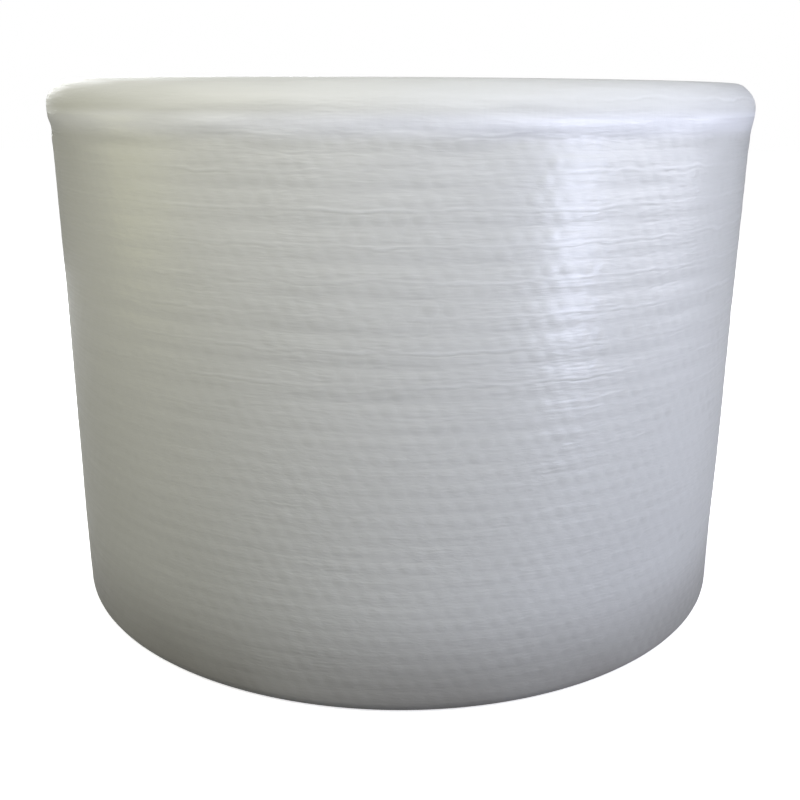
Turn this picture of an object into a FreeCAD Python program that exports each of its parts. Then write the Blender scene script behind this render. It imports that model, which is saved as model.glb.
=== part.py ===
import FreeCAD
import Part

import math
import os

# Roll of bubble film, standing on one end.
# Millimetres. The origin is on the core's axis at the foot, +Z is up, and -Y is the front.

# Driving dimensions: the film
WEB_WIDTH = 375.0        # width of the film, which is the roll's height
TURNS = 52               # turns of film on the core
TURN_PITCH = 4.0         # what one turn adds to the radius: a bubble's height and the films
BUBBLE_PITCH = 11.3      # between two neighbouring bubbles in one row

# Driving dimensions: the cardboard core
CORE_BORE = 76.0
CORE_WALL = 5.0
CORE_CLEARANCE = 0.3     # between the core and the first turn

# Driving dimensions: the outer wall
RIB_DEPTH = 0.8          # how far the tight film sinks between two double rows of bubbles
RIBS_FROM = 190.0        # height above which the film is tight enough for the rows to show as ribs
SHOULDER_FLARE = 3.5     # how far the upper edge stands out from the wall
SHOULDER_DROP = 18.0     # from the top down to the widest ring of the shoulder
SHOULDER_LEAN = 15.0     # how far the shoulder closes in from that ring to the top
SHOULDER_FOLDS = 3       # flats that the film makes round the shoulder
COLLAR_DROP = 30.0       # from the top down to where the flare starts
FOOT_ROUND = 8.0
FOOT_FOLDS = 2           # flats that the film makes round the foot's edge

# Driving dimensions: the turns that show on the two ends
TOP_GROOVES = 5          # times that the sunken bands of turns go round on the top
FOOT_GROOVES = 1         # the same on the foot
BAND_DEPTH = 2.5         # how far the sunken bands stand back
INNER_RIM = 8.0          # flat ring of the first turns, next to the core
OUTER_RIM = 8.0          # flat ring of the last turns, next to the shoulder or the foot's edge

# Sizes that follow
core_radius = CORE_BORE / 2.0 + CORE_WALL
hole_radius = core_radius + CORE_CLEARANCE
roll_radius = hole_radius + TURNS * TURN_PITCH
row_pitch = BUBBLE_PITCH * math.sin(math.pi / 3.0)
shoulder_radius = (SHOULDER_LEAN ** 2 + SHOULDER_DROP ** 2) / (2.0 * SHOULDER_LEAN)


def at_front(distance, height):
    """A point on the front half of the plane x = 0, at a distance from the axis."""
    return FreeCAD.Vector(0.0, -distance, height)


def face_through(points):
    return Part.Face(Part.makePolygon(points + [points[0]]))


def folds(centre_distance, centre_height, radius, start_degrees, end_degrees, count):
    """Points of an arc taken in a few flats, with 0 degrees pointing outwards and 90 degrees up."""
    points = []
    for index in range(count + 1):
        angle = math.radians(start_degrees + (end_degrees - start_degrees) * index / count)
        distance = centre_distance + radius * math.cos(angle)
        points.append(at_front(distance, centre_height + radius * math.sin(angle)))
    return points


def wind(section, pitch):
    """A section at the front, wound once round the axis along a spiral that grows by pitch.

    Each side is half a turn about a centre of its own, a quarter of the pitch off the axis, so the
    two sides run smoothly into each other at the front and are one pitch apart at the back.
    """
    up = FreeCAD.Vector(0.0, 0.0, 1.0)
    left_centre = FreeCAD.Vector(0.0, -pitch / 4.0, 0.0)
    right_centre = FreeCAD.Vector(0.0, pitch / 4.0, 0.0)
    left = section.revolve(left_centre, up, -180.0)
    right = section.revolve(right_centre, up, 180.0)
    return left.fuse(right)


def rib_points():
    """The tight upper part of the outer wall: one shallow valley for each double row of bubbles."""
    high = WEB_WIDTH - COLLAR_DROP
    count = max(1, round((high - RIBS_FROM) / (2.0 * row_pitch)))
    step = (high - RIBS_FROM) / count
    points = [at_front(roll_radius, RIBS_FROM)]
    for index in range(count):
        points.append(at_front(roll_radius - RIB_DEPTH, RIBS_FROM + (index + 0.5) * step))
        points.append(at_front(roll_radius, RIBS_FROM + (index + 1.0) * step))
    return points


def web_section():
    """Half section of the wound film, from inside the core's wall to the outer wall."""
    inside = CORE_BORE / 2.0
    lean_degrees = math.degrees(math.atan2(SHOULDER_DROP, shoulder_radius - SHOULDER_LEAN))
    foot = folds(roll_radius - FOOT_ROUND, FOOT_ROUND, FOOT_ROUND, -90.0, 0.0, FOOT_FOLDS)
    shoulder = folds(
        roll_radius + SHOULDER_FLARE - shoulder_radius,
        WEB_WIDTH - SHOULDER_DROP,
        shoulder_radius,
        0.0,
        lean_degrees,
        SHOULDER_FOLDS,
    )
    outside = foot + rib_points() + shoulder
    return face_through([at_front(inside, 0.0)] + outside + [at_front(inside, WEB_WIDTH)])


def band_cutter(end_height, inward, rim_edge, count):
    """What is cut from one end, so that every other band of its turns stands back.

    A comb of square teeth, wound along a spiral that grows by one tooth and one gap for each turn.
    inward is -1 at the top and +1 at the foot.
    """
    inner = hole_radius + INNER_RIM
    outer = rim_edge - OUTER_RIM
    band = (outer - inner) / (2.0 * count + 1.0)
    first = inner + band
    back = end_height - 2.0 * inward * BAND_DEPTH
    teeth = []
    for index in range(count):
        near = first + 2.0 * index * band
        far = near + band
        gum = end_height - inward * BAND_DEPTH
        root = end_height + inward * BAND_DEPTH
        teeth += [at_front(near, gum), at_front(near, root), at_front(far, root), at_front(far, gum)]
    last = first + (2.0 * count - 1.0) * band
    comb = face_through([at_front(first, back)] + teeth + [at_front(last, back)])
    return wind(comb, 2.0 * band)


def wound_web():
    body = wind(web_section(), TURN_PITCH)
    core_room = Part.makeCylinder(hole_radius, WEB_WIDTH)
    top_edge = roll_radius + SHOULDER_FLARE - SHOULDER_LEAN
    foot_edge = roll_radius - FOOT_ROUND
    top_cutter = band_cutter(WEB_WIDTH, -1.0, top_edge, TOP_GROOVES)
    foot_cutter = band_cutter(0.0, 1.0, foot_edge, FOOT_GROOVES)
    return body.cut(core_room).cut(top_cutter).cut(foot_cutter)


def core_tube():
    outside = Part.makeCylinder(core_radius, WEB_WIDTH)
    bore = Part.makeCylinder(CORE_BORE / 2.0, WEB_WIDTH)
    return outside.cut(bore)


os.makedirs("parts", exist_ok=True)
nodes = {"wound_web": wound_web(), "core_tube": core_tube()}
for name, shape in nodes.items():
    solid = shape.Solids[0]
    print(name, len(shape.Solids), "solid,", len(solid.Faces), "faces,", solid.isValid())
    solid.exportStep("parts/" + name + ".step")
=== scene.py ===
import math

import bpy
import numpy as np
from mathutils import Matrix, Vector


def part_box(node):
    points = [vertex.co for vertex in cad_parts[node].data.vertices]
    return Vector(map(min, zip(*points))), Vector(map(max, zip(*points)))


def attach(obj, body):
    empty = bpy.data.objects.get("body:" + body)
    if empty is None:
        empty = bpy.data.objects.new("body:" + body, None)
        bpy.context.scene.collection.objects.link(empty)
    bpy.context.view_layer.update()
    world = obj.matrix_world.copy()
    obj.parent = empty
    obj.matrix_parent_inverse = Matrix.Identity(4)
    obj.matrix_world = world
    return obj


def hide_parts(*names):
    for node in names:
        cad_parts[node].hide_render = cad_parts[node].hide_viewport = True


bl_info = {
    "name": "Bubble Film Roll",
    "version": (1, 0, 0),
    "blender": (4, 5, 0),
    "location": "View3D > Sidebar > Film Roll",
    "description": "Outer film, turns, core and studio of an upright roll of bubble film",
    "category": "Object",
}

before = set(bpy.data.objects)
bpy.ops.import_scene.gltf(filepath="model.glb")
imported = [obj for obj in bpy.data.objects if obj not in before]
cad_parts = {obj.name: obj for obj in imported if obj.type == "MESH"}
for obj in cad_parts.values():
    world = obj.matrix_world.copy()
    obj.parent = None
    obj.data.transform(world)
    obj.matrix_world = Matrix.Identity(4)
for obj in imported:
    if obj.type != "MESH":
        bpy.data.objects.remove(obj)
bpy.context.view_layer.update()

WEB = "wound_web"
CORE = "core_tube"
BODY = "root"
web_low, web_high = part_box(WEB)
core_low, core_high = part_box(CORE)

# Sizes that the frame gives, in metres
ROLL_HEIGHT = web_high[2] - web_low[2]
CORE_RADIUS = (core_high[0] - core_low[0]) / 2.0
WIDEST_RADIUS = -web_low[1]


class RollSizes(bpy.types.PropertyGroup):
    """Sizes of the film and of the roll's edges."""

    turn_pitch: bpy.props.FloatProperty(
        name="Turn pitch", description="What one turn of film adds to the radius",
        default=0.004, min=0.001, unit="LENGTH",
    )
    bubble_pitch: bpy.props.FloatProperty(
        name="Bubble pitch", description="Between two neighbouring bubbles in one row",
        default=0.0113, min=0.004, unit="LENGTH",
    )
    bubble_width: bpy.props.FloatProperty(
        name="Bubble width", description="Across one bubble where it is sealed to the flat film",
        default=0.0100, min=0.003, unit="LENGTH",
    )
    bubble_swell: bpy.props.FloatProperty(
        name="Bubble swell", description="How far a bubble lifts the outer film on the slack lower wall",
        default=0.00006, min=0.0, unit="LENGTH",
    )
    rib_from: bpy.props.FloatProperty(
        name="Ribs from", description="Height above which the film is tight enough to show ribs",
        default=0.190, min=0.0, unit="LENGTH",
    )
    rib_step: bpy.props.FloatProperty(
        name="Rib step", description="Between two ribs, which is two rows of bubbles",
        default=0.019375, min=0.004, unit="LENGTH",
    )
    rib_depth: bpy.props.FloatProperty(
        name="Rib depth", description="How far the film sinks between two ribs",
        default=0.0008, min=0.0, unit="LENGTH",
    )
    shoulder_flare: bpy.props.FloatProperty(
        name="Shoulder flare", description="How far the upper edge stands out from the wall",
        default=0.0021, min=0.0, unit="LENGTH",
    )
    shoulder_drop: bpy.props.FloatProperty(
        name="Shoulder drop", description="From the top down to the widest ring of the shoulder",
        default=0.018, min=0.001, unit="LENGTH",
    )
    shoulder_lean: bpy.props.FloatProperty(
        name="Shoulder lean", description="How far the shoulder closes in from that ring to the top",
        default=0.0136, min=0.001, unit="LENGTH",
    )
    collar_drop: bpy.props.FloatProperty(
        name="Collar drop", description="From the top down to where the flare starts",
        default=0.036, min=0.002, unit="LENGTH",
    )
    foot_round: bpy.props.FloatProperty(
        name="Foot rounding", description="Radius of the wall's lower edge",
        default=0.008, min=0.001, unit="LENGTH",
    )
    rim_width: bpy.props.FloatProperty(
        name="Rim width", description="Flat ring of turns beside the core and beside the outer edge",
        default=0.008, min=0.0, unit="LENGTH",
    )
    band_depth: bpy.props.FloatProperty(
        name="Band depth", description="How far the sunken bands of turns stand back",
        default=0.0025, min=0.0, unit="LENGTH",
    )
    top_grooves: bpy.props.IntProperty(
        name="Top grooves", description="Times that the sunken bands go round on the top",
        default=5, min=1,
    )
    foot_grooves: bpy.props.IntProperty(
        name="Foot grooves", description="Times that the sunken bands go round on the foot",
        default=1, min=1,
    )


class RollColours(bpy.types.PropertyGroup):
    """Colours of the film and of the core's board."""

    film: bpy.props.FloatVectorProperty(
        name="Film", description="Many turns of clear film seen together",
        subtype="COLOR", size=4, default=(0.585, 0.59, 0.57, 1.0), min=0.0, max=1.0,
    )
    # Film over bubbles is also the dark end of the painted shade in the creases and on the upper
    # shoulder.
    film_shade: bpy.props.FloatVectorProperty(
        name="Film over bubbles", description="Where a bubble shows the turns below",
        subtype="COLOR", size=4, default=(0.475, 0.48, 0.455, 1.0), min=0.0, max=1.0,
    )
    # Painted shade: the darker colour towards the foot of the wall, in blotches.
    foot_shade: bpy.props.FloatVectorProperty(
        name="Dust", description="What the film picks up near the floor",
        subtype="COLOR", size=4, default=(0.20, 0.19, 0.17, 1.0), min=0.0, max=1.0,
    )
    # Painted light: the lighter colour of the band under the shoulder.
    film_lit: bpy.props.FloatVectorProperty(
        name="Film lit through", description="Where light shines through the flared edge",
        subtype="COLOR", size=4, default=(0.72, 0.73, 0.74, 1.0), min=0.0, max=1.0,
    )
    film_edge: bpy.props.FloatVectorProperty(
        name="Film edge", description="Cut edges of the turns",
        subtype="COLOR", size=4, default=(0.80, 0.805, 0.79, 1.0), min=0.0, max=1.0,
    )
    # Painted shade: the darker colour down in the gaps between the turns' edges.
    film_gap_shade: bpy.props.FloatVectorProperty(
        name="Film depth", description="What shows between the edges of the turns",
        subtype="COLOR", size=4, default=(0.50, 0.505, 0.485, 1.0), min=0.0, max=1.0,
    )
    board: bpy.props.FloatVectorProperty(
        name="Board", description="Brown board of the core",
        subtype="COLOR", size=4, default=(0.36, 0.225, 0.12, 1.0), min=0.0, max=1.0,
    )


class StudioSettings(bpy.types.PropertyGroup):
    """Camera and lamps."""

    camera_distance: bpy.props.FloatProperty(
        name="Camera distance", description="From the roll's axis to the camera",
        default=0.7795, min=0.3, unit="LENGTH",
    )
    camera_height: bpy.props.FloatProperty(
        name="Camera height", description="Of the camera above the floor",
        default=0.3644, min=0.0, unit="LENGTH",
    )
    camera_pitch: bpy.props.FloatProperty(
        name="Camera pitch", description="How far the camera looks down",
        default=math.radians(16.95), subtype="ANGLE",
    )
    camera_roll: bpy.props.FloatProperty(
        name="Camera roll", description="How far the camera is turned about its own axis",
        default=math.radians(-0.35), subtype="ANGLE",
    )
    lens: bpy.props.FloatProperty(
        name="Lens", description="Focal length on a sensor 36 mm wide, in millimetres",
        default=44.6, min=10.0,
    )


def wall_radius_at_front():
    """Radius of the wall at the front, without the flare of the frame's shoulder."""
    return WIDEST_RADIUS - FRAME_FLARE


def smooth_step(low, high, value):
    """0 below low, 1 above high, and 3t^2 - 2t^3 between them."""
    t = np.clip((value - low) / (high - low), 0.0, 1.0)
    return t * t * (3.0 - 2.0 * t)


def soft_noise(x, y, seed):
    """Smooth noise from -1 to 1 on a grid of cells one unit wide.

    Each corner of the grid has a random height, and inside a cell the four heights are mixed with
    the weights 3t^2 - 2t^3 along both sides.
    """
    side = 256
    heights = np.random.default_rng(seed).uniform(-1.0, 1.0, (side, side))
    column = np.floor(x).astype(int)
    row = np.floor(y).astype(int)
    s = smooth_step(0.0, 1.0, x - column)
    t = smooth_step(0.0, 1.0, y - row)
    left, right = column % side, (column + 1) % side
    low, high = row % side, (row + 1) % side
    lower = heights[low, left] * (1.0 - s) + heights[low, right] * s
    upper = heights[high, left] * (1.0 - s) + heights[high, right] * s
    return lower * (1.0 - t) + upper * t


def grid_mesh(name, points, uv, normals=None, closed_columns=False):
    """A mesh object from a grid of points, rows by columns.

    A face joins each point to the next column and the next row. A closed grid joins its last
    column to the first, and uv then has one more of them, so that the pattern doesn't jump.
    """
    rows, columns = points.shape[:2]
    column_faces = columns if closed_columns else columns - 1
    i, j = np.meshgrid(np.arange(rows - 1), np.arange(column_faces), indexing="ij")
    here, after = i * columns + j, i * columns + (j + 1) % columns
    corners = np.stack([here, after, after + columns, here + columns], -1)
    corner_uv = np.stack([uv[i, j], uv[i, j + 1], uv[i + 1, j + 1], uv[i + 1, j]], 2)
    mesh = bpy.data.meshes.new(name)
    mesh.vertices.add(rows * columns)
    mesh.vertices.foreach_set("co", points.reshape(-1).astype(np.float32))
    mesh.loops.add(corners.size)
    mesh.loops.foreach_set("vertex_index", corners.reshape(-1).astype(np.int32))
    mesh.polygons.add((rows - 1) * column_faces)
    mesh.polygons.foreach_set("loop_start", np.arange(0, corners.size, 4, dtype=np.int32))
    layer = mesh.uv_layers.new(name="Film")
    layer.uv.foreach_set("vector", corner_uv.reshape(-1).astype(np.float32))
    mesh.update(calc_edges=True)
    mesh.shade_smooth()
    if normals is not None:
        mesh.normals_split_custom_set_from_vertices(normals.reshape(-1, 3).tolist())
    return add_object(name, mesh)


def add_object(name, mesh):
    piece = bpy.data.objects.new(name, mesh)
    bpy.context.scene.collection.objects.link(piece)
    return piece


def film_piece(piece, material):
    """Give a piece its material, and say what it stands for."""
    piece.data.materials.append(material)
    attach(piece, BODY)
    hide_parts(WEB)
    return piece


# Outer wall

def wall_profile(roll, spacing):
    """Points up the wall at an even spacing: distance from the wall's radius, height and length so far.

    A quarter circle at the foot, a straight wall, a collar that flares by 3t^2 - 2t^3, an arc round
    the shoulder to the top, and a rim that turns down into the roll.
    """
    shoulder_radius = (roll.shoulder_lean ** 2 + roll.shoulder_drop ** 2) / (2.0 * roll.shoulder_lean)
    lean_angle = math.atan2(roll.shoulder_drop, shoulder_radius - roll.shoulder_lean)
    foot = np.linspace(-math.pi / 2.0, 0.0, 16)
    rise = np.linspace(roll.foot_round, ROLL_HEIGHT - roll.collar_drop, 80)[1:]
    collar = np.linspace(ROLL_HEIGHT - roll.collar_drop, ROLL_HEIGHT - roll.shoulder_drop, 14)[1:]
    turn = np.linspace(0.0, lean_angle, 24)[1:]
    rim = np.linspace(0.0, math.pi / 2.0, 8)[1:]
    rim_radius = 0.0012
    flare = roll.shoulder_flare * smooth_step(collar[0], collar[-1], collar)
    top_out = roll.shoulder_flare - roll.shoulder_lean
    out = np.concatenate([
        roll.foot_round * (np.cos(foot) - 1.0),
        np.zeros_like(rise),
        flare,
        roll.shoulder_flare - shoulder_radius * (1.0 - np.cos(turn)),
        top_out - rim_radius * np.sin(rim),
        [top_out - rim_radius],
    ])
    height = np.concatenate([
        roll.foot_round * (1.0 + np.sin(foot)),
        rise,
        collar,
        ROLL_HEIGHT - roll.shoulder_drop + shoulder_radius * np.sin(turn),
        ROLL_HEIGHT - rim_radius * (1.0 - np.cos(rim)),
        [ROLL_HEIGHT - RIM_DEPTH],
    ])
    length = np.concatenate([[0.0], np.cumsum(np.hypot(np.diff(out), np.diff(height)))])
    even = np.linspace(0.0, length[-1], int(round(length[-1] / spacing)) + 1)
    return np.interp(even, length, out), np.interp(even, length, height), even


def bubble_swell(across, along, roll):
    """Height from 0 to 1 of the film over its bubbles, in staggered rows.

    across is in bubble pitches round the roll and along in rows up it. A dome is 1 - (d/r)^4 of
    its own radius r, at a distance d from its centre, with every bubble a little different. The
    film is pulled round the roll, so it bridges the bubbles of one row and sinks between rows.
    """
    row = np.floor(along)
    shifted = across - 0.5 * np.mod(row, 2.0)
    column = np.floor(shifted)
    d_across = (shifted - column - 0.5) * roll.bubble_pitch * BRIDGING
    d_along = (along - row - 0.5) * roll.rib_step / 2.0
    share = np.hypot(d_across, d_along) / (roll.bubble_width / 2.0)
    fullness = 0.65 + 0.35 * soft_noise(column * 0.73, row * 0.61, 11)
    return fullness * np.clip(1.0 - share ** 4, 0.0, 1.0)


def wall_relief(across, along, height, sideways, roll):
    """How far the film stands out from the smooth wall, in metres.

    Slack film low on the roll follows the bubbles. Tight film above it sinks by the square of a
    sine between every two rows of them, in some patches more than in others and least at the front
    left, where the film is tautest. The collar is puckered, and the whole wall is a few tenths of a
    millimetre uneven.
    """
    gathered = TAUT_SHARE + (1.0 - TAUT_SHARE) * smooth_step(TAUT_FROM, TAUT_TO, sideways)
    tight = smooth_step(roll.rib_from - 0.045, roll.rib_from + 0.030, height)
    shoulder = smooth_step(ROLL_HEIGHT - roll.collar_drop, ROLL_HEIGHT - roll.shoulder_drop, height)
    foot = 1.0 - smooth_step(0.0, roll.foot_round * 1.5, height)
    rib = along / 2.0
    valley = np.sin(math.pi * rib) ** 2
    patches = 0.25 + 0.25 * soft_noise(across / 4.0, rib * 0.97, 3)
    ribs = -roll.rib_depth * patches * valley * tight * gathered
    swell = roll.bubble_swell * bubble_swell(across, along, roll) * (1.0 - 0.45 * tight)
    streaks = 0.00006 * soft_noise(across / 2.3, along * 1.9, 7)
    uneven = 0.00045 * soft_noise(across / 13.0, along / 6.0, 9)
    pucker = 0.00035 * soft_noise(across / 3.0, along * 1.4, 13)
    calm = 1.0 - smooth_step(ROLL_HEIGHT - CALM_DROP, ROLL_HEIGHT - roll.collar_drop, height)
    plain = ribs * calm + swell * (1.0 - 0.8 * shoulder)
    return (plain + streaks + uneven + pucker * (1.0 - calm)) * (1.0 - 0.8 * foot)


def wall_grid(roll):
    """The whole outer film as one grid, with its normals and its own pattern coordinates.

    Columns go once round the roll along an Archimedean spiral that grows by one turn's pitch, from
    the back round the front to the back again. The last few columns fold over the free edge and
    come down to the turn below.
    """
    radius = wall_radius_at_front()
    out, height, length = wall_profile(roll, WALL_SPACING)
    columns = int(round(2.0 * math.pi * radius / WALL_SPACING))
    angle = np.linspace(-math.pi, math.pi, columns)
    rows_up = (length - np.interp(roll.rib_from, height[:len(height) // 2], length[:len(height) // 2]))
    rows_up = rows_up / (roll.rib_step / 2.0) + ROWS_BELOW_RIBS
    across = angle * radius / roll.bubble_pitch
    across_grid, along_grid = np.meshgrid(across, rows_up)
    height_grid = np.repeat(height[:, None], columns, 1)
    sideways = radius * np.sin(angle)[None, :]
    relief = wall_relief(across_grid, along_grid, height_grid, sideways, roll)
    inside = smooth_step(length[-1] - 0.012, length[-1] - 0.004, length)[:, None]
    relief = relief * (1.0 - inside)
    slope_out, slope_up = np.gradient(out), np.gradient(height)
    size = np.hypot(slope_out, slope_up)
    normal_out, normal_up = (slope_up / size)[:, None], (-slope_out / size)[:, None]
    spiral = radius + roll.turn_pitch * angle[None, :] / (2.0 * math.pi)
    distance = spiral + out[:, None] + relief * normal_out
    level = height_grid + relief * normal_up
    level = np.clip(level, 0.0, None)
    points = np.stack([distance * np.sin(angle), -distance * np.cos(angle), level], -1)
    lip = free_edge(points, roll)
    points = np.concatenate([points, lip], 1)
    extra = across[-1] + np.arange(1, FREE_EDGE_COLUMNS + 2) * 0.2
    uv_across = np.concatenate([across, extra])
    uv = np.stack(np.meshgrid(uv_across, rows_up), -1)
    return points, uv, grid_normals(points)


def free_edge(points, roll):
    """Columns that fold from the end of the film down to the turn below, as half of an oval.

    The fold leans out past the end by up to a millimetre and a half, more where a bubble was cut.
    """
    share = (np.arange(1, FREE_EDGE_COLUMNS + 1) / (FREE_EDGE_COLUMNS + 1.0))[None, :, None]
    start, end = points[:, -1:, :], points[:, :1, :]
    fall = (1.0 - np.cos(math.pi * share)) / 2.0
    rows = np.arange(points.shape[0])
    reach = 0.0010 + 0.0005 * soft_noise(rows * 0.31, rows * 0.0, 21)
    sideways = np.zeros_like(start)
    sideways[:, 0, 0] = -reach
    return start + (end - start) * fall + sideways * np.sin(math.pi * share)


def grid_normals(points):
    """Unit normals of a grid that is closed round its columns, from the cross product of its slopes."""
    around = np.roll(points, -1, 1) - np.roll(points, 1, 1)
    upward = np.gradient(points, axis=0)
    normals = np.cross(around, upward)
    return normals / np.maximum(np.linalg.norm(normals, axis=-1, keepdims=True), 1e-12)


# Turns on the ends

def end_height(distance, angle, edge_radius, grooves, roll):
    """How far an end's turns stand back at a place, in metres: the sunken bands wind as a spiral."""
    inner = CORE_RADIUS + TURN_CLEARANCE + roll.rim_width
    band = (edge_radius - roll.rim_width - inner) / (2.0 * grooves + 1.0)
    turned = distance - 2.0 * band * angle / (2.0 * math.pi)
    place = (turned - inner - band) / (2.0 * band)
    wave = np.abs(np.mod(place, 1.0) - 0.25)
    wave = np.minimum(wave, 1.0 - wave)
    sunk = 1.0 - smooth_step(0.21, 0.29, wave)
    within = smooth_step(-0.06, 0.04, place) * (1.0 - smooth_step(grooves - 0.54, grooves - 0.44, place))
    return roll.band_depth * sunk * within


def turn_ribbon(roll, edge_radius, grooves, step, thickness, bulge):
    """A band of film set on edge and wound along the spiral of the turns.

    The spiral's radius at a length l from its inner end is the root of r0^2 + pitch * l / pi. The
    ribbon's section is a slim upright box. bulge moves it inwards by the height of the bubbles, as
    arches of 1 - |2t - 1|^3 over each bubble, so it touches the next turn at every bubble.
    """
    inner = CORE_RADIUS + TURN_CLEARANCE + roll.turn_pitch
    outer = edge_radius - roll.turn_pitch / 2.0
    total = math.pi * (outer ** 2 - inner ** 2) / roll.turn_pitch
    count = int(total / step)
    length = np.linspace(0.0, total, count)
    spiral = np.sqrt(inner ** 2 + roll.turn_pitch * length / math.pi)
    angle = 2.0 * math.pi * (spiral - outer) / roll.turn_pitch - math.pi
    bubble = length / roll.bubble_pitch
    share = np.clip((np.mod(bubble, 1.0) - 0.5) * roll.bubble_pitch / roll.bubble_width * 2.0, -1.0, 1.0)
    fullness = 0.86 + 0.14 * soft_noise(np.floor(bubble) * 0.71, spiral * 0.0, 31)
    arch = bulge * (1.0 - np.abs(share) ** 3) * fullness
    wander = 0.00025 * soft_noise(length / 0.045, spiral * 0.0, 33)
    middle = spiral - arch + wander
    turned = np.mod(angle + math.pi, 2.0 * math.pi) - math.pi
    back = end_height(spiral, turned, edge_radius, grooves, roll)
    ragged = 0.00025 * (1.0 + soft_noise(length / 0.017, spiral / roll.turn_pitch, 35))
    turn_step = 0.0003 * (1.0 + soft_noise(angle / (2.0 * math.pi), spiral * 0.0, 37))
    top = back + ragged + turn_step
    return middle, angle, top, length, thickness


def ribbon_object(name, ribbon, at_top):
    """The ribbon as a mesh: outer face, edge and inner face, carried along the spiral."""
    middle, angle, back, length, thickness = ribbon
    half = thickness / 2.0
    deep = back + RIBBON_HEIGHT
    distance = np.stack([middle + half, middle + half, middle - half, middle - half])
    depth = np.stack([deep, back, back, deep])
    level = ROLL_HEIGHT - depth if at_top else depth
    if not at_top:
        distance, level = distance[::-1], level[::-1]
    points = np.stack([distance * np.sin(angle), -distance * np.cos(angle), level], -1)
    rows = np.arange(4)[:, None] / 3.0
    uv = np.stack([np.repeat(length[None, :] / 0.01, 4, 0), np.repeat(rows, len(length), 1)], -1)
    return grid_mesh(name, points, uv)


def deep_ring(name, edge_radius, grooves, at_top, roll):
    """A ring just under the edges of the turns, from the core's hole to the wall."""
    radii = np.linspace(CORE_RADIUS + TURN_CLEARANCE, edge_radius, 90)
    angle = np.linspace(-math.pi, math.pi, 281)[:-1]
    distance, turned = np.meshgrid(radii, angle, indexing="ij")
    depth = end_height(distance, turned, edge_radius, grooves, roll) + RIM_DEPTH
    level = ROLL_HEIGHT - depth if at_top else depth
    points = np.stack([distance * np.sin(turned), -distance * np.cos(turned), level], -1)
    across = np.linspace(-1.0, 1.0, 282)
    uv = np.stack(np.meshgrid(across, radii / 0.01), -1)
    if at_top:
        points, uv = points[::-1], uv[::-1]
    return grid_mesh(name, points, uv, closed_columns=True)


# Materials

class NodeTree:
    """Short ways to add nodes to one material."""

    def __init__(self, name):
        self.material = bpy.data.materials.new(name)
        self.material.use_nodes = True
        self.tree = self.material.node_tree
        self.tree.nodes.clear()
        self.output = self.add("ShaderNodeOutputMaterial")

    def add(self, kind, inputs=None, **settings):
        node = self.tree.nodes.new(kind)
        for key, value in settings.items():
            setattr(node, key, value)
        for key, value in (inputs or {}).items():
            self.feed(node.inputs[key], value)
        return node

    def feed(self, socket, value):
        if isinstance(value, bpy.types.NodeSocket):
            self.tree.links.new(value, socket)
        else:
            socket.default_value = value

    def math(self, operation, *values, clamp=False):
        node = self.add("ShaderNodeMath", operation=operation, use_clamp=clamp)
        for socket, value in zip(node.inputs, values):
            self.feed(socket, value)
        return node.outputs[0]

    def noise(self, vector, scale, detail=2.0, roughness=0.5):
        node = self.add("ShaderNodeTexNoise", {
            "Vector": vector, "Scale": scale, "Detail": detail, "Roughness": roughness,
        })
        return node.outputs["Fac"]

    def stretched(self, vector, scale):
        node = self.add("ShaderNodeMapping", {"Vector": vector, "Scale": scale})
        return node.outputs["Vector"]

    def length(self, vector):
        return self.add("ShaderNodeVectorMath", {0: vector}, operation="LENGTH").outputs["Value"]

    def ramp(self, value, low, high, to_low=0.0, to_high=1.0):
        node = self.add("ShaderNodeMapRange", {
            "Value": value, "From Min": low, "From Max": high, "To Min": to_low, "To Max": to_high,
        }, interpolation_type="SMOOTHSTEP")
        return node.outputs["Result"]

    def mix_colour(self, factor, first, second):
        node = self.add("ShaderNodeMix", data_type="RGBA")
        self.feed(node.inputs["Factor"], factor)
        self.feed(node.inputs["A"], first)
        self.feed(node.inputs["B"], second)
        return next(out for out in node.outputs if out.type == "RGBA")

    def ridge(self, value):
        """1 along the lines where a noise is at its middle, down to 0 a quarter above and below."""
        away = self.math("ABSOLUTE", self.math("MULTIPLY_ADD", value, 4.0, -2.0))
        return self.math("SUBTRACT", 1.0, away, clamp=True)

    def total(self, forms):
        """Sum of a few forms, each times its own size."""
        result = 0.0
        for form, size in forms:
            result = self.math("MULTIPLY_ADD", form, size, result)
        return result

    def bump(self, height, distance, strength, normal=None):
        node = self.add("ShaderNodeBump", {"Height": height, "Distance": distance, "Strength": strength})
        if normal is not None:
            self.feed(node.inputs["Normal"], normal)
        return node.outputs["Normal"]

    def surface(self, **inputs):
        node = self.add("ShaderNodeBsdfPrincipled", inputs)
        self.tree.links.new(node.outputs["BSDF"], self.output.inputs["Surface"])
        return node


def bubble_place(tree, across, along, roll):
    """Place on the nearest bubble from its centre, in bubble radii, and its own number from 0 to 1."""
    row = tree.math("FLOOR", along)
    odd = tree.math("FLOORED_MODULO", row, 2.0)
    shifted = tree.math("MULTIPLY_ADD", odd, -0.5, across)
    x = tree.math("SUBTRACT", tree.math("FRACT", shifted), 0.5)
    y = tree.math("SUBTRACT", tree.math("FRACT", along), 0.5)
    radius = roll.bubble_width / 2.0
    offset = tree.add("ShaderNodeCombineXYZ", {
        "X": tree.math("MULTIPLY", x, roll.bubble_pitch / radius),
        "Y": tree.math("MULTIPLY", y, roll.rib_step / 2.0 / radius),
    })
    cell = tree.add("ShaderNodeCombineXYZ", {"X": tree.math("FLOOR", shifted), "Y": row})
    chance = tree.add("ShaderNodeTexWhiteNoise", {"Vector": cell.outputs[0]}, noise_dimensions="2D")
    return offset.outputs[0], chance.outputs["Value"]


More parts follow.
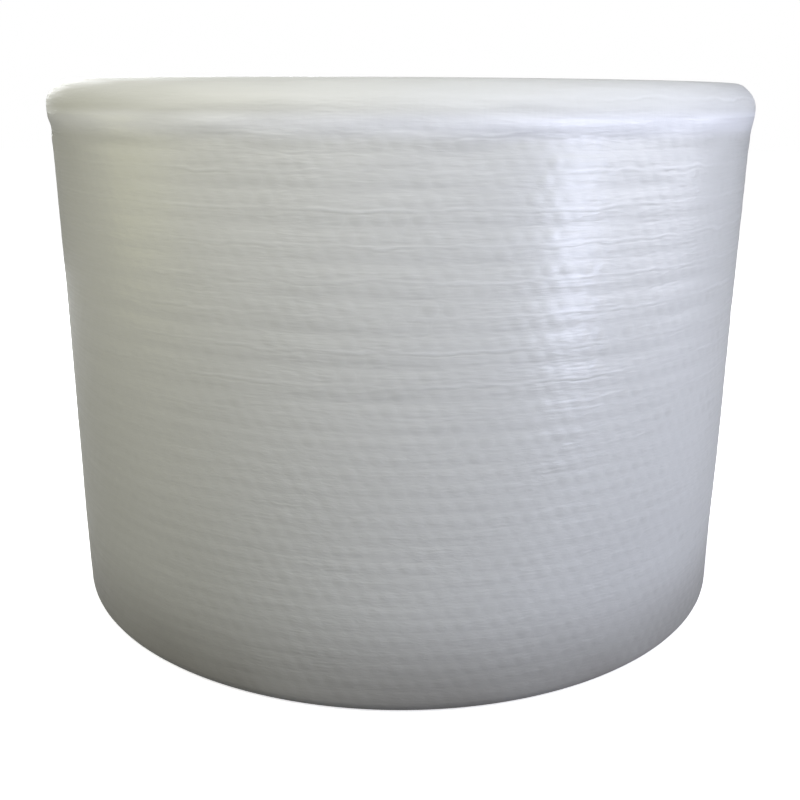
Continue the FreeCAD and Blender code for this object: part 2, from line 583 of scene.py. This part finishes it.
def wall_film_material(name, roll, colours, roughness, coat):
    """Clear film drawn tight over its bubbles.

    The height of its small forms is in millimetres: a low dome over each bubble, no two alike, a
    fine crease between the rows, a raised line with a crease below it at every second row where
    the film is tight, wrinkles and tucks that run round the roll, and upright pleats in the
    shoulder. All of them are weaker at the front left, where the film is tautest. In clear patches
    the film is lighter at the seals and darker over the middles of the bubbles, where it shows the
    turns below. Its colour is also painted lighter along the raised lines, wrinkles and tucks, as
    painted highlight, and darker in the crease below each raised line, as painted shade. A band
    under the shoulder is painted lighter, as painted light; the shoulder's upper part is painted
    darker on the left, as painted shade; and the foot is painted darker in blotches, as painted
    shade.
    """
    tree = NodeTree(name)
    pattern = tree.add("ShaderNodeUVMap", uv_map="Film").outputs["UV"]
    parts = tree.add("ShaderNodeSeparateXYZ", {"Vector": pattern})
    across, along = parts.outputs["X"], parts.outputs["Y"]
    place = tree.add("ShaderNodeTexCoord").outputs["Object"]
    spot = tree.add("ShaderNodeSeparateXYZ", {"Vector": place})
    level = spot.outputs["Z"]
    offset, chance = bubble_place(tree, across, along, roll)
    calm = tree.ramp(along, SHOULDER_ROW - 1.6, SHOULDER_ROW, 1.0, 0.0)
    tight = tree.ramp(along, ROWS_BELOW_RIBS - 4.0, ROWS_BELOW_RIBS + 3.0)

    bridged = tree.stretched(offset, (BRIDGING, 1.0, 1.0))
    dome = tree.ramp(tree.length(bridged), 0.1, 1.0, 1.0, 0.0)
    patches = tree.noise(tree.stretched(pattern, (0.22, 0.9, 1.0)), 1.0, detail=2.0)
    patches = tree.ramp(patches, 0.42, 0.70)
    seal = tree.math("ABSOLUTE", tree.math("SUBTRACT", tree.length(offset), 0.97))
    seal = tree.math("MULTIPLY", tree.ramp(seal, 0.0, 0.20, 1.0, 0.0), calm)
    clear = tree.noise(tree.stretched(pattern, (0.25, 0.30, 1.0)), 1.0, detail=2.0)
    clear = tree.math("MULTIPLY", tree.ramp(clear, 0.46, 0.72), calm)
    seal = tree.math("MULTIPLY", seal, clear)
    wobble = tree.noise(tree.stretched(pattern, (0.45, 0.7, 1.0)), 1.0, detail=2.0)
    line = tree.math("ADD", along, tree.math("MULTIPLY_ADD", wobble, 0.7, -0.35))
    from_row = tree.math("PINGPONG", line, 0.5)
    from_pair = tree.math("PINGPONG", line, 1.0)
    row_crease = tree.math("MULTIPLY", tree.ramp(from_row, 0.0, 0.13, 1.0, 0.0), patches)
    held = tree.math("MULTIPLY", tree.math("MULTIPLY_ADD", patches, 0.75, 0.25), tight)
    pair_ridge = tree.math("MULTIPLY", tree.ramp(from_pair, 0.0, 0.15, 1.0, 0.0), held)
    below_ridge = tree.math("PINGPONG", tree.math("ADD", line, 0.20), 1.0)
    pair_crease = tree.math("MULTIPLY", tree.ramp(below_ridge, 0.0, 0.11, 1.0, 0.0), held)
    drawn = tree.noise(tree.stretched(pattern, (0.42, 2.0, 1.0)), 1.0, detail=2.0, roughness=0.5)
    wrinkle = tree.ridge(drawn)
    long_tuck = tree.ridge(tree.noise(tree.stretched(pattern, (0.55, 3.6, 1.0)), 1.0, detail=1.0))
    short_tuck = tree.ridge(tree.noise(tree.stretched(pattern, (1.7, 4.0, 1.0)), 1.0, detail=1.5))
    tuck = tree.math("MULTIPLY", long_tuck, tight)
    tuck = tree.math("MULTIPLY_ADD", short_tuck, tree.math("MULTIPLY_ADD", tight, -0.8, 1.2), tuck)
    tuck = tree.math("MULTIPLY", tuck, tree.math("MULTIPLY_ADD", clear, -0.6, 1.0))
    threads = tree.noise(tree.stretched(pattern, (0.30, 7.0, 1.0)), 1.0, detail=1.0)
    pleats = tree.ridge(tree.noise(tree.stretched(pattern, (2.8, 0.35, 1.0)), 1.0, detail=1.0))
    pleats = tree.math("MULTIPLY", pleats, tree.ramp(along, SHOULDER_ROW - 1.6, SHOULDER_ROW + 0.4))

    gathered = tree.ramp(spot.outputs["X"], TAUT_FROM, TAUT_TO, TAUT_SHARE, 1.0)
    gathered = tree.math("MAXIMUM", gathered, tree.ramp(spot.outputs["Y"], *BEHIND))
    small = tree.total((
        (dome, 0.04),
        (tree.math("MULTIPLY", dome, chance), 0.15),
        (row_crease, -0.05),
        (pair_ridge, 0.12),
        (pair_crease, -0.06),
    ))
    small = tree.math("MULTIPLY", small, tree.math("MULTIPLY_ADD", calm, 0.75, 0.25))
    height = tree.total(((small, 1.0), (wrinkle, 0.080), (tuck, 0.050), (threads, 0.030), (pleats, 0.03)))
    normal = tree.bump(tree.math("MULTIPLY", height, gathered), 0.001, 1.0)

    clouds = tree.noise(place, 9.0, detail=2.0)
    centre = tree.math("MULTIPLY", tree.math("MULTIPLY", dome, clear), chance)
    # Lighter along the raised lines, wrinkles and tucks is painted highlight, and darker in the crease
    # below each raised line is painted shade; lighter seals and darker bubble middles are the film's own
    # tone.
    tone_and_painted_light = tree.total((
        (seal, 0.16),
        (centre, -0.36),
        (pair_ridge, 0.55),
        (pair_crease, -0.32),
        (wrinkle, 0.13),
        (tuck, 0.10),
    ))
    plain = tree.math("MULTIPLY_ADD", clouds, 0.6, 0.12)
    lightness = tree.math("MULTIPLY_ADD", tone_and_painted_light, gathered, plain)
    lightness = tree.math("ADD", lightness, 0.0, clamp=True)
    colour = tree.mix_colour(lightness, tuple(colours.film_shade), tuple(colours.film))
    # Painted light: a lighter band under the shoulder, as if lit through the flare.
    below_band = tree.ramp(level, *LIT_FROM)
    lit = tree.math("MULTIPLY", below_band, tree.ramp(level, *LIT_TO, 1.0, 0.0))
    colour = tree.mix_colour(lit, colour, tuple(colours.film_lit))
    # Painted shade: the shoulder's upper part darker on the left, towards the film over bubbles colour.
    shoulder_shade_mask = tree.ramp(spot.outputs["X"], 0.0, 0.20, 0.85, 0.0)
    shoulder_shade_mask = tree.math("MULTIPLY", tree.ramp(level, *SHOULDER_SHADE_HEIGHTS), shoulder_shade_mask)
    colour = tree.mix_colour(shoulder_shade_mask, colour, tuple(colours.film_shade))
    # Painted shade: the foot darker in blotches, fading upwards.
    foot_shade_mask = tree.ramp(clouds, 0.2, 0.7, 0.7, 1.0)
    foot_shade_mask = tree.math("MULTIPLY", tree.ramp(level, *FOOT_SHADE_HEIGHTS, 0.95, 0.0), foot_shade_mask)
    colour = tree.mix_colour(foot_shade_mask, colour, tuple(colours.foot_shade))
    rough = tree.ramp(threads, 0.3, 0.7, roughness - 0.06, roughness + 0.06)
    tree.surface(**{
        "Base Color": colour, "Roughness": rough, "Normal": normal, "IOR": 1.5,
        "Specular IOR Level": 0.7, "Coat Weight": coat, "Coat Roughness": 0.20, "Coat Normal": normal,
    })
    return tree.material


def edge_film_material(colours):
    """Cut edges of the film, painted lighter along their tops and darker down towards the gaps, as
    painted light and shade, and uneven along their length.
    """
    tree = NodeTree("film_edges")
    pattern = tree.add("ShaderNodeUVMap", uv_map="Film").outputs["UV"]
    parts = tree.add("ShaderNodeSeparateXYZ", {"Vector": pattern})
    patches = tree.noise(tree.stretched(pattern, (0.35, 0.0, 1.0)), 1.0, detail=3.0)
    from_middle = tree.math("ABSOLUTE", tree.math("SUBTRACT", parts.outputs["Y"], 0.5))
    # Painted light and shade: lighter at the top of each edge, darker down its sides.
    top = tree.math("SUBTRACT", 1.0, from_middle, clamp=True)
    share = tree.math("MULTIPLY", tree.ramp(patches, 0.25, 0.75, 0.55, 1.0), top)
    colour = tree.mix_colour(share, tuple(colours.film_gap_shade), tuple(colours.film_edge))
    tree.surface(**{"Base Color": colour, "Roughness": 0.3, "IOR": 1.5, "Specular IOR Level": 0.6})
    return tree.material


def deep_film_material(colours):
    """What shows between the edges: the film and bubbles a few millimetres further in, painted darker in
    blotches as painted shade down in the gaps.
    """
    tree = NodeTree("film_gap_shade")
    place = tree.add("ShaderNodeTexCoord").outputs["Object"]
    patches = tree.noise(place, 130.0, detail=2.0)
    darker = tuple(0.6 * value for value in colours.film_gap_shade[:3]) + (1.0,)
    colour = tree.mix_colour(patches, darker, tuple(colours.film_gap_shade))
    normal = tree.bump(patches, 0.002, 0.6)
    tree.surface(**{"Base Color": colour, "Roughness": 0.4, "Normal": normal, "IOR": 1.5})
    return tree.material


def board_material(colours):
    """Wound brown board: short fibres, slow blotches and the seams of its strips as a helix."""
    tree = NodeTree("core_board")
    place = tree.add("ShaderNodeTexCoord").outputs["Object"]
    parts = tree.add("ShaderNodeSeparateXYZ", {"Vector": place})
    turn = tree.math("ARCTAN2", parts.outputs["Y"], parts.outputs["X"])
    rise = tree.math("MULTIPLY", parts.outputs["Z"], 1.0 / BOARD_STRIP_RISE)
    strip = tree.math("FRACT", tree.math("ADD", rise, tree.math("MULTIPLY", turn, 0.5 / math.pi)))
    from_seam = tree.math("MINIMUM", strip, tree.math("SUBTRACT", 1.0, strip))
    seam = tree.ramp(from_seam, 0.0, 0.012, 1.0, 0.0)
    fibres = tree.noise(tree.stretched(place, (900.0, 900.0, 220.0)), 1.0, detail=3.0)
    blotches = tree.noise(place, 28.0, detail=3.0)
    board = tuple(colours.board)
    dark = tuple(0.62 * value for value in board[:3]) + (1.0,)
    light = tuple(min(1.0, 1.25 * value) for value in board[:3]) + (1.0,)
    colour = tree.mix_colour(tree.ramp(fibres, 0.3, 0.7), dark, light)
    colour = tree.mix_colour(tree.ramp(blotches, 0.3, 0.7, 0.0, 0.5), colour, board)
    colour = tree.mix_colour(tree.math("MULTIPLY", seam, 0.7), colour, dark)
    normal = tree.bump(fibres, 0.0003, 0.5)
    normal = tree.bump(tree.math("SUBTRACT", 1.0, seam), 0.0006, 0.7, normal)
    tree.surface(**{"Base Color": colour, "Roughness": 0.85, "Normal": normal, "Specular IOR Level": 0.3})
    return tree.material


# Operators

class ROLL_OT_outer_wall(bpy.types.Operator):
    """Make the outer film in three bands up the roll, from the foot to the shoulder"""

    bl_idname = "film_roll.outer_wall"
    bl_label = "Outer wall"

    def execute(self, context):
        roll = context.scene.film_roll_sizes
        colours = context.scene.film_roll_colours
        wall = wall_film_material("film_outside", roll, colours, 0.36, 0.25)
        shoulder = wall_film_material("film_shoulder", roll, colours, 0.58, 0.0)
        points, uv, normals = wall_grid(roll)
        last = points.shape[0] - 1
        turn = int(np.searchsorted(uv[:, 0, 1], SHOULDER_ROW - 0.6))
        edges = (0, turn // 2, turn, last)
        for name, start, end in zip(WALL_BANDS, edges, edges[1:]):
            rows = slice(start, end + 1)
            piece = grid_mesh(name, points[rows], uv[rows], normals[rows], closed_columns=True)
            film_piece(piece, shoulder if end == last else wall)
        return {"FINISHED"}


class ROLL_OT_end_turns(bpy.types.Operator):
    """Make the edges of the turns on the top and on the foot"""

    bl_idname = "film_roll.end_turns"
    bl_label = "Turns on the ends"

    def execute(self, context):
        roll = context.scene.film_roll_sizes
        edges = edge_film_material(context.scene.film_roll_colours)
        depth = deep_film_material(context.scene.film_roll_colours)
        wall = wall_radius_at_front()
        top_radius = wall + roll.shoulder_flare - roll.shoulder_lean
        foot_radius = wall - roll.foot_round
        ends = (("top", top_radius, roll.top_grooves, 5.0), ("foot", foot_radius, roll.foot_grooves, 4.0))
        for end, radius, grooves, samples in ends:
            at_top = end == "top"
            step = roll.bubble_pitch / samples
            flat = turn_ribbon(roll, radius, grooves, FLAT_FILM_STEP, FLAT_FILM_THICKNESS, 0.0)
            formed = turn_ribbon(roll, radius, grooves, step, BUBBLE_FILM_THICKNESS, BUBBLE_HEIGHT)
            film_piece(ribbon_object("flat_film_" + end, flat, at_top), edges)
            film_piece(ribbon_object("bubble_film_" + end, formed, at_top), edges)
            film_piece(deep_ring("film_gap_shade_" + end, radius, grooves, at_top, roll), depth)
        return {"FINISHED"}


class ROLL_OT_core(bpy.types.Operator):
    """Give the core its board"""

    bl_idname = "film_roll.core"
    bl_label = "Core"

    def execute(self, context):
        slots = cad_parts[CORE].material_slots
        if not slots:
            raise RuntimeError("the core has no material slot")
        board = board_material(context.scene.film_roll_colours)
        for slot in slots:
            slot.material = board
        return {"FINISHED"}


class ROLL_OT_studio(bpy.types.Operator):
    """Make the floor, the lamps, the world and the camera"""

    bl_idname = "film_roll.studio"
    bl_label = "Studio"

    def execute(self, context):
        make_floor()
        make_world(context.scene)
        for lamp in LAMPS:
            make_lamp(*lamp)
        make_camera(context.scene, context.scene.film_roll_studio)
        context.scene.view_settings.view_transform = "Standard"
        return {"FINISHED"}


def make_floor():
    """A wide disc, white to the camera and duller to the light that would bounce up from it."""
    radii = np.concatenate([[0.0], np.geomspace(0.05, FLOOR_RADIUS, 14)])
    angle = np.linspace(0.0, 2.0 * math.pi, 73)[:-1]
    distance, turned = np.meshgrid(radii[1:], angle, indexing="ij")
    points = np.stack([distance * np.cos(turned), distance * np.sin(turned), np.zeros_like(distance)], -1)
    centre = np.zeros((1, points.shape[1], 3))
    points = np.concatenate([centre, points])[::-1]
    uv = np.zeros((points.shape[0], points.shape[1] + 1, 2))
    floor = grid_mesh("studio_floor", points, uv, closed_columns=True)
    tree = NodeTree("studio_floor")
    path = tree.add("ShaderNodeLightPath")
    seen = tree.math("MULTIPLY_ADD", path.outputs["Is Glossy Ray"], 0.25, path.outputs["Is Camera Ray"])
    seen = tree.math("ADD", seen, path.outputs["Is Transmission Ray"], clamp=True)
    dull = tree.add("ShaderNodeBsdfDiffuse", {"Color": (0.07, 0.07, 0.07, 1.0)})
    pale = tree.add("ShaderNodeBsdfDiffuse", {"Color": (0.82, 0.82, 0.82, 1.0)})
    place = tree.add("ShaderNodeTexCoord").outputs["Object"]
    distance = tree.add("ShaderNodeVectorMath", {0: place}, operation="LENGTH").outputs["Value"]
    glow = tree.add("ShaderNodeEmission", {
        "Color": (1.0, 1.0, 1.0, 1.0), "Strength": tree.ramp(distance, 0.3, 1.3, 0.74, 1.0),
    })
    both = tree.add("ShaderNodeAddShader")
    tree.feed(both.inputs[0], pale.outputs[0])
    tree.feed(both.inputs[1], glow.outputs[0])
    mix = tree.add("ShaderNodeMixShader", {"Fac": seen})
    tree.feed(mix.inputs[1], dull.outputs[0])
    tree.feed(mix.inputs[2], both.outputs[0])
    tree.feed(tree.output.inputs["Surface"], mix.outputs[0])
    floor.data.materials.append(tree.material)


def make_world(scene):
    """White behind the roll for the camera, and a soft grey that lights it."""
    world = bpy.data.worlds.new("studio_world")
    world.use_nodes = True
    nodes, links = world.node_tree.nodes, world.node_tree.links
    nodes.clear()
    output = nodes.new("ShaderNodeOutputWorld")
    white = nodes.new("ShaderNodeBackground")
    white.inputs["Color"].default_value = (1.0, 1.0, 1.0, 1.0)
    soft = nodes.new("ShaderNodeBackground")
    soft.inputs["Color"].default_value = WORLD_COLOUR
    soft.inputs["Strength"].default_value = WORLD_STRENGTH
    path = nodes.new("ShaderNodeLightPath")
    mix = nodes.new("ShaderNodeMixShader")
    links.new(path.outputs["Is Camera Ray"], mix.inputs["Fac"])
    links.new(soft.outputs[0], mix.inputs[1])
    links.new(white.outputs[0], mix.inputs[2])
    links.new(mix.outputs[0], output.inputs["Surface"])
    scene.world = world


def make_lamp(name, place, aim, size, power, colour):
    lamp = bpy.data.lights.new(name, "AREA")
    lamp.shape = "RECTANGLE"
    lamp.size, lamp.size_y = size
    lamp.energy = power
    lamp.color = colour
    holder = bpy.data.objects.new(name, lamp)
    holder.visible_camera = False
    holder.location = place
    holder.rotation_euler = (Vector(aim) - Vector(place)).to_track_quat("-Z", "Y").to_euler()
    bpy.context.scene.collection.objects.link(holder)


def make_camera(scene, studio):
    camera = bpy.data.cameras.new("studio_camera")
    camera.sensor_width = 36.0
    camera.lens = studio.lens
    camera.clip_start = 0.02
    holder = bpy.data.objects.new("studio_camera", camera)
    holder.location = (0.0, -studio.camera_distance, studio.camera_height)
    holder.rotation_mode = "XYZ"
    holder.rotation_euler = (math.pi / 2.0 - studio.camera_pitch, studio.camera_roll, 0.0)
    scene.collection.objects.link(holder)
    scene.camera = holder


class ROLL_PT_panel(bpy.types.Panel):
    """Sizes, colours and steps of the roll"""

    bl_idname = "ROLL_PT_panel"
    bl_label = "Bubble Film Roll"
    bl_space_type = "VIEW_3D"
    bl_region_type = "UI"
    bl_category = "Film Roll"

    def draw(self, context):
        for group in (
            context.scene.film_roll_sizes,
            context.scene.film_roll_colours,
            context.scene.film_roll_studio,
        ):
            box = self.layout.box()
            for name in group.__annotations__:
                box.prop(group, name)
        for step in STEPS:
            self.layout.operator(step.bl_idname)


# Sizes that the functions share, in metres
FRAME_FLARE = 0.0035             # how far the frame's shoulder stands out from the wall
TURN_CLEARANCE = 0.0003          # between the core and the first turn
RIM_DEPTH = 0.0016               # from an end down to the ring under the edges of the turns
RIBBON_HEIGHT = 0.0020           # of the band of film at each turn's edge
BUBBLE_HEIGHT = 0.0031
FLAT_FILM_THICKNESS = 0.00055
BUBBLE_FILM_THICKNESS = 0.00045
FLAT_FILM_STEP = 0.0070          # between two points along the flat film's edge
WALL_SPACING = 0.00173           # between two points of the wall
BOARD_STRIP_RISE = 0.085         # of the board's seams in one turn
FLOOR_RADIUS = 7.0
CALM_DROP = 0.050                # from the top down to where the ribs fade out
TAUT_FROM = -0.21                # x of the tautest film, at the front left
TAUT_TO = 0.02                   # x from which the film is fully gathered
BEHIND = (-0.04, 0.10)           # y over which it gets fully gathered towards the back
LIT_FROM = (0.340, 0.351)        # heights over which the lit band under the shoulder begins
LIT_TO = (0.352, 0.360)          # heights over which it ends
SHOULDER_SHADE_HEIGHTS = (0.355, 0.363)       # heights over which painted shade darkens the turned-up shoulder
FOOT_SHADE_HEIGHTS = (-0.01, 0.080)           # heights over which the painted shade at the foot fades

# Counts, shares and colours
FREE_EDGE_COLUMNS = 6
ROWS_BELOW_RIBS = 19.6           # rows of bubbles below the first rib
SHOULDER_ROW = 37.3              # row of bubbles at which the shoulder starts
TAUT_SHARE = 0.30                # what is left of the small forms where the film is tautest
BRIDGING = 0.85                  # how much of a bubble's width the film spans round the roll
WORLD_COLOUR = (1.0, 1.0, 0.92, 1.0)
WORLD_STRENGTH = 0.04
WALL_BANDS = ("film_wall_low", "film_wall_high", "film_shoulder")
# Each lamp's name, place, aim, sides in metres, power in watts and colour
LAMPS = (
    ("key_lamp", (0.93, -0.82, 0.18), (0.0, 0.0, 0.2), (0.22, 0.42), 3.1, (0.71, 0.76, 1.0)),
    ("right_lamp", (1.5, -0.40, 0.60), (0.0, 0.0, 0.2), (1.3, 1.0), 13.0, (0.85, 0.87, 1.0)),
    ("top_lamp", (0.30, -0.70, 0.78), (0.05, -0.2, 0.3), (0.7, 0.4), 5.1, (0.88, 0.90, 1.0)),
    ("top_left_lamp", (-0.45, -0.60, 0.76), (-0.1, -0.1, 0.3), (0.5, 0.4), 4.3, (1.0, 0.98, 0.87)),
    ("left_lamp", (-1.5, -0.25, 0.38), (0.0, 0.0, 0.2), (0.7, 0.7), 0.9, (1.0, 0.98, 0.20)),
    ("back_lamp", (-0.65, 1.35, 0.75), (0.0, 0.0, 0.2), (1.2, 0.8), 30.0, (0.96, 0.97, 1.0)),
)

STEPS = (ROLL_OT_outer_wall, ROLL_OT_end_turns, ROLL_OT_core, ROLL_OT_studio)
CLASSES = (RollSizes, RollColours, StudioSettings) + STEPS + (ROLL_PT_panel,)


def register():
    for each in CLASSES:
        bpy.utils.register_class(each)
    bpy.types.Scene.film_roll_sizes = bpy.props.PointerProperty(type=RollSizes)
    bpy.types.Scene.film_roll_colours = bpy.props.PointerProperty(type=RollColours)
    bpy.types.Scene.film_roll_studio = bpy.props.PointerProperty(type=StudioSettings)


def unregister():
    del bpy.types.Scene.film_roll_studio
    del bpy.types.Scene.film_roll_colours
    del bpy.types.Scene.film_roll_sizes
    for each in reversed(CLASSES):
        bpy.utils.unregister_class(each)


def main():
    register()
    bpy.ops.film_roll.outer_wall()
    bpy.ops.film_roll.end_turns()
    bpy.ops.film_roll.core()
    bpy.ops.film_roll.studio()


if __name__ == "__main__":
    main()
